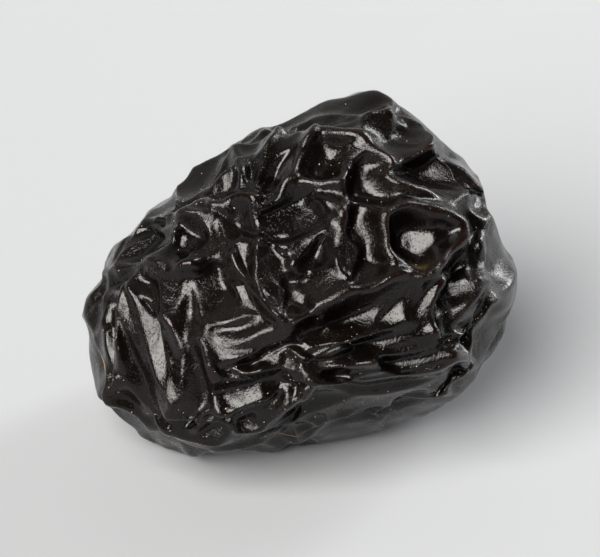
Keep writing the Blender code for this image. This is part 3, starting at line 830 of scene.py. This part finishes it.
def pore_group():
    """Dried-skin grain: fine pores on a leathery pebble, as a height, and a mask of their rims."""
    tree, given, out = new_tree("skin_pores", "ShaderNodeTree", [
        ("Place", "Vector", None), ("Pore Scale", "Float", 6000.0),
        ("Pebble Scale", "Float", 1500.0), ("Pore Depth", "Float", 0.5)],
        [("Height", "Float"), ("Grain", "Float")])
    pebble = tree.noise(given["Place"], given["Pebble Scale"], detail=4.0, roughness=0.6)
    cells = tree.add("ShaderNodeTexVoronoi", {"Vector": given["Place"], "Scale": given["Pore Scale"]})
    pores = tree.band(cells.outputs["Distance"], *PORE_BAND)
    tree.put(out["Height"], tree.math("ADD", pebble, tree.math("MULTIPLY", pores, given["Pore Depth"])))
    tree.put(out["Grain"], pores)
    return tree.tree


def tone_group():
    """How the colour drifts over a fruit: a slow drift and a finer, patchy one."""
    tree, given, out = new_tree("fruit_tone", "ShaderNodeTree", [
        ("Place", "Vector", None), ("Patch Scale", "Float", 120.0), ("Contrast", "Float", 0.12)],
        [("Drift", "Float"), ("Patches", "Float")])
    middle = 0.5
    tree.put(out["Drift"], tree.noise(given["Place"], given["Patch Scale"], detail=2.0))
    finer = tree.math("MULTIPLY", given["Patch Scale"], PATCHES_FINER)
    patches = tree.noise(given["Place"], finer, detail=5.0, distortion=0.6)
    low = tree.math("SUBTRACT", middle, given["Contrast"])
    high = tree.math("ADD", middle, given["Contrast"])
    tree.put(out["Patches"], tree.band(patches, low, high))
    return tree.tree


def new_material(name):
    material = bpy.data.materials.new(name)
    material.use_nodes = True
    tree = Tree(material.node_tree)
    place = tree.add("ShaderNodeTexCoord").outputs["Object"]
    return material, tree, material.node_tree.nodes["Principled BSDF"], place


def use_group(tree, group, place, **values):
    """A shader node group's outputs, given its inputs by name."""
    inputs = {name.replace("_", " "): value for name, value in values.items()}
    return tree.add("ShaderNodeGroup", {"Place": place, **inputs}, node_tree=group).outputs


def skin_material(pores, tone):
    material, tree, shader, place = new_material("prune_skin")
    relief, gold_glow_mask, scar = (
        tree.add("ShaderNodeAttribute", attribute_type="GEOMETRY", attribute_name=name).outputs["Fac"]
        for name in ("relief", "gold_glow_mask", "stem_scar"))
    tones = use_group(tree, tone, place, Patch_Scale=PATCH_SCALE, Contrast=PATCH_CONTRAST)
    grain = use_group(tree, pores, place, Pore_Scale=PORE_SCALE, Pebble_Scale=PEBBLE_SCALE,
                      Pore_Depth=PORE_DEPTH)
    patches = tones["Patches"]

    # Black-brown flesh, maroon painted on the ridges as the glow of light shining through thin skin, a grey
    # dry film in places
    colour = tree.mix(tree.band(tones["Drift"], *BROWN_BAND), BLACK_SKIN, BROWN_SKIN)
    colour = tree.mix(tree.band(relief, *RIDGE_GLOW_BAND), colour, MAROON_GLOW)
    film = tree.math("MULTIPLY", patches, tree.band(relief, *FILM_BAND))
    colour = tree.mix(film, colour, GREY_FILM)
    dusty = tree.band(tree.noise(place, DUST_SCALE, detail=2.0), *DUST_BAND)
    colour = tree.mix(tree.math("MULTIPLY", dusty, patches), colour, DUST)
    # painted golden glow of light shining through thin skin at a few spots
    gold_glow = tree.math("MULTIPLY", gold_glow_mask, tree.band(grain["Height"], *GOLD_GLOW_BAND))
    colour = tree.mix(gold_glow, colour, GOLD_GLOW)
    fibres = tree.noise(place, FIBRE_SCALE, detail=4.0, roughness=0.7, distortion=2.5)
    dry_scar = tree.math("MULTIPLY", scar, tree.band(fibres, *SCAR_BAND))
    colour = tree.mix(dry_scar, colour, tree.mix(tree.band(fibres, *TAN_BAND), SCAR_BROWN, SCAR_TAN))
    tree.put(shader.inputs["Base Color"], colour)

    # Sticky gloss that dulls in the dry film, in the pores, on the painted gold glow spots and on the scar
    rough = tree.band(patches, 0.0, 1.0, *FILM_ROUGHNESS)
    for more in (tree.band(grain["Grain"], 0.0, 1.0, *PORE_ROUGHNESS),
                 tree.math("MULTIPLY", gold_glow_mask, GOLD_ROUGHNESS),
                 tree.math("MULTIPLY", dry_scar, SCAR_ROUGHNESS)):
        rough = tree.math("ADD", rough, more)
    tree.put(shader.inputs["Roughness"], rough)
    coat = tree.band(patches, 0.0, 1.0, *COAT_WEIGHT)
    tree.put(shader.inputs["Coat Weight"], tree.math("MULTIPLY", coat, tree.math("SUBTRACT", 1.0, scar)))
    for name, value in (("Coat Roughness", COAT_ROUGHNESS), ("Coat IOR", SKIN_IOR), ("IOR", SKIN_IOR),
                        ("Specular IOR Level", SKIN_GLOSS)):
        tree.put(shader.inputs[name], value)

    # Fine creases a fraction of a millimetre apart, and the grain on them
    crease = tree.noise(place, CREASE_SCALE, detail=5.0, roughness=0.6, distortion=0.8)
    crease = tree.math("ABSOLUTE", tree.math("SUBTRACT", crease, 0.5))
    height = tree.math("MULTIPLY", tree.band(crease, 0.0, CREASE_WIDTH),
                       tree.band(patches, 0.0, 1.0, *CREASE_SHARE))
    fold = tree.add("ShaderNodeBump", {"Distance": CREASE_DEPTH, "Height": height})
    bump = tree.add("ShaderNodeBump", {
        "Distance": GRAIN_DEPTH, "Height": grain["Height"], "Normal": fold.outputs["Normal"]})
    tree.put(shader.inputs["Normal"], bump.outputs["Normal"])
    return material


def crust_material(name, pores, light, dark, scale, roughness):
    """A dull crumbly finish for what sits on the skin."""
    material, tree, shader, place = new_material(name)
    grain = use_group(tree, pores, place, Pore_Scale=scale, Pebble_Scale=scale * CRUST_PEBBLES,
                      Pore_Depth=CRUST_PORES)
    tree.put(shader.inputs["Base Color"], tree.mix(tree.band(grain["Height"], *CRUST_BAND), dark, light))
    tree.put(shader.inputs["Roughness"],
             tree.band(grain["Grain"], 0.0, 1.0, roughness, roughness + CRUST_ROUGHER))
    bump = tree.add("ShaderNodeBump", {"Distance": GRAIN_DEPTH, "Height": grain["Height"]})
    tree.put(shader.inputs["Normal"], bump.outputs["Normal"])
    return material


# Small things on the skin, spread by Geometry Nodes


def piece_of_tree(name, base, tree, values):
    """The piece that a Geometry Nodes tree makes of base, with the tree's inputs set by name."""
    carrier = in_scene("carrier", base)
    modifier = carrier.modifiers.new("spread", "NODES")
    modifier.node_group = tree
    for item in tree.interface.items_tree:
        if item.in_out == "INPUT" and item.name in values:
            modifier[item.identifier] = values[item.name]
    shown = bpy.context.evaluated_depsgraph_get()
    mesh = bpy.data.meshes.new_from_object(carrier.evaluated_get(shown), depsgraph=shown)
    carrier.modifiers.clear()
    bpy.data.objects.remove(carrier)
    mesh.name = name
    return in_scene(name, mesh)


def geometry_tree(name, inputs):
    return new_tree(name, "GeometryNodeTree", [("Geometry", "Geometry", None)] + inputs,
                    [("Geometry", "Geometry")])


def finish_tree(tree, given, out, made):
    """What the tree made, turned into plain meshes with their material."""
    real = tree.add("GeometryNodeRealizeInstances", {"Geometry": made})
    finish = tree.add("GeometryNodeSetMaterial", {
        "Geometry": real.outputs["Geometry"], "Material": given["Finish"]})
    tree.put(out["Geometry"], finish.outputs["Geometry"])
    return tree.tree


def speck_tree():
    """Crumbs scattered over a skin, more of them where it is crumpled."""
    tree, given, out = geometry_tree("skin_specks", [
        ("Density", "Float", 1.0), ("Size", "Float", 0.00006), ("Seed", "Int", 2),
        ("Finish", "Material", None)])
    chance = tree.add("GeometryNodeInputNamedAttribute", {"Name": "crumbs"}, data_type="FLOAT")
    density = tree.math("MULTIPLY", chance.outputs["Attribute"], given["Density"])
    scatter = tree.add("GeometryNodeDistributePointsOnFaces", {
        "Mesh": given["Geometry"], "Density": density, "Seed": given["Seed"]}, distribute_method="RANDOM")
    crumb = tree.add("GeometryNodeMeshIcoSphere", {"Radius": 1.0, "Subdivisions": 1})
    spin = tree.add("FunctionNodeRandomValue", {"Max": CRUMB_TURN, "Seed": given["Seed"]},
                    data_type="FLOAT_VECTOR")
    spun = tree.add("FunctionNodeEulerToRotation", {"Euler": spin.outputs["Value"]})
    turn = tree.add("FunctionNodeRotateRotation", {
        "Rotation": scatter.outputs["Rotation"], "Rotate By": spun.outputs["Rotation"]},
        rotation_space="LOCAL")
    size = tree.add("FunctionNodeRandomValue", {
        "Min": CRUMB_LEAST, "Max": CRUMB_MOST, "Seed": given["Seed"]}, data_type="FLOAT_VECTOR")
    scaled = tree.add("ShaderNodeVectorMath", {0: size.outputs["Value"], "Scale": given["Size"]},
                      operation="SCALE")
    placed = tree.add("GeometryNodeInstanceOnPoints", {
        "Points": scatter.outputs["Points"], "Instance": crumb.outputs["Mesh"],
        "Rotation": turn.outputs["Rotation"], "Scale": scaled.outputs["Vector"]})
    return finish_tree(tree, given, out, placed.outputs["Instances"])


def crack_tree():
    """Thin tubes along the given lines, fading at their ends."""
    tree, given, out = geometry_tree("skin_cracks", [
        ("Thickness", "Float", 0.00005), ("Unevenness", "Float", 0.5), ("Seed", "Int", 5),
        ("Finish", "Material", None)])
    line = tree.add("GeometryNodeMeshToCurve", {"Mesh": given["Geometry"]})
    along = tree.add("GeometryNodeSplineParameter").outputs["Factor"]
    fade = tree.math("SINE", tree.math("MULTIPLY", along, math.pi))
    thin = tree.math("SUBTRACT", 1.0, given["Unevenness"])
    uneven = tree.add("FunctionNodeRandomValue", {2: thin, 3: 1.0, "Seed": given["Seed"]},
                      data_type="FLOAT")
    width = tree.math("MULTIPLY", tree.math("MULTIPLY", fade, uneven.outputs[1]), given["Thickness"])
    width = tree.math("MAXIMUM", width, CRACK_THINNEST)
    ring = tree.add("GeometryNodeCurvePrimitiveCircle", {"Resolution": CRACK_SIDES, "Radius": 1.0},
                    mode="RADIUS")
    tube = tree.add("GeometryNodeCurveToMesh", {
        "Curve": line.outputs["Curve"], "Profile Curve": ring.outputs["Curve"], "Scale": width,
        "Fill Caps": True})
    return finish_tree(tree, given, out, tube.outputs["Mesh"])


def specks_piece(skin, finish):
    return piece_of_tree("skin_specks", skin.data.copy(), speck_tree(), {
        "Density": SPECK_DENSITY, "Size": SPECK_SIZE * MM, "Seed": SPECK_SEED, "Finish": finish})


def cracks_piece(skin, scale, shift, finish):
    """The cracks, drawn on the finished skin a little below its surface."""
    skin_tree = BVHTree.FromPolygons([vert.co for vert in skin.data.vertices],
                                     [face.vertices for face in skin.data.polygons])
    rng = np.random.default_rng(CRACK_SEED)
    lines = bmesh.new()
    for route in CRACKS:
        route = np.reshape(route, (-1, 2))
        length = np.linalg.norm(np.diff(route, axis=0), axis=1).sum()
        share = np.linspace(0, len(route) - 1, max(CRACK_FEWEST, int(length / CRACK_STEP)))
        spots = np.stack([np.interp(share, np.arange(len(route)), route[:, k]) for k in (0, 1)], 1)
        spots += rng.normal(0, CRACK_WANDER, spots.shape)
        verts = []
        for across, up in spots:
            start = Vector((scale * on_side(across, up)[0] + shift) * MM)
            place, normal = skin_tree.find_nearest(start)[:2]
            verts.append(lines.verts.new(place - normal * CRACK_SUNK * MM))
        for first, second in zip(verts, verts[1:]):
            lines.edges.new((first, second))
    base = bpy.data.meshes.new("crack_lines")
    lines.to_mesh(base)
    lines.free()
    return piece_of_tree("skin_cracks", base, crack_tree(), {
        "Thickness": CRACK_THICKNESS * MM, "Unevenness": CRACK_UNEVENNESS, "Finish": finish})


# Floor, light and camera


def floor_piece():
    mesh = bpy.data.meshes.new("floor")
    corners = [(x * FLOOR_HALF, y * FLOOR_HALF, 0) for x, y in ((-1, -1), (1, -1), (1, 1), (-1, 1))]
    mesh.from_pydata(corners, [], [(0, 1, 2, 3)])
    material, tree, shader, _ = new_material("floor")
    for name, value in (("Base Color", FLOOR_COLOR), ("Roughness", FLOOR_ROUGHNESS),
                        ("Specular IOR Level", FLOOR_GLOSS)):
        tree.put(shader.inputs[name], value)
    mesh.materials.append(material)
    return in_scene("floor", mesh)


def add_light(name, kind, energy, towards, **settings):
    """A light that shines along towards."""
    light = bpy.data.lights.new(name, kind)
    light.energy = energy
    for setting, value in settings.items():
        setattr(light, setting, value)
    piece = in_scene(name, light)
    piece.rotation_euler = Vector(towards).to_track_quat("-Z", "Y").to_euler()
    return piece


def light_scene():
    """A wide light in front, above and to the left, a strip behind, and a room pale behind."""
    add_light("window_above", "SUN", SUN_STRENGTH, SUN_TOWARDS, angle=math.radians(SUN_ANGLE),
              color=SUN_COLOR)
    strip = add_light("strip_right", "AREA", STRIP_ENERGY, Vector(STRIP_AIM) - Vector(STRIP_PLACE),
                      shape="RECTANGLE", size=STRIP_SIZE[0], size_y=STRIP_SIZE[1])
    strip.location = STRIP_PLACE
    world = bpy.data.worlds.new("room")
    world.use_nodes = True
    bpy.context.scene.world = world
    tree = Tree(world.node_tree)
    looking = tree.add("ShaderNodeTexCoord").outputs["Generated"]
    behind = tree.add("ShaderNodeSeparateXYZ", {0: looking}).outputs["Y"]
    shine = world.node_tree.nodes["Background"]
    tree.put(shine.inputs["Color"], tree.mix(tree.band(behind, *ROOM_BAND), ROOM_FRONT, ROOM_BEHIND))
    tree.put(shine.inputs["Strength"], 1.0)


def place_camera():
    data = bpy.data.cameras.new("camera")
    data.lens = CAMERA_LENS
    data.clip_start = CAMERA_CLIP
    camera = in_scene("camera", data)
    camera.location = Vector(CAMERA_AIM) + Vector(NEAR) * CAMERA_DISTANCE
    camera.rotation_euler = Vector(-NEAR).to_track_quat("-Z", "Y").to_euler()
    bpy.context.scene.camera = camera
    bpy.context.scene.view_settings.view_transform = "Standard"


def scene():
    pores = pore_group()
    skin, scale, shift = skin_piece()
    skin.data.materials.append(skin_material(pores, tone_group()))
    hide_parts("prune")
    specks = specks_piece(skin, crust_material("crumbs", pores, SPECK_LIGHT, SPECK_DARK, *CRUMB_FINISH))
    cracks = cracks_piece(skin, scale, shift,
                          crust_material("cracked_edge", pores, CRACK_LIGHT, CRACK_DARK, *EDGE_FINISH))
    for piece in (skin, specks, cracks):
        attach(piece, "root")
    floor_piece()
    light_scene()
    place_camera()


scene()
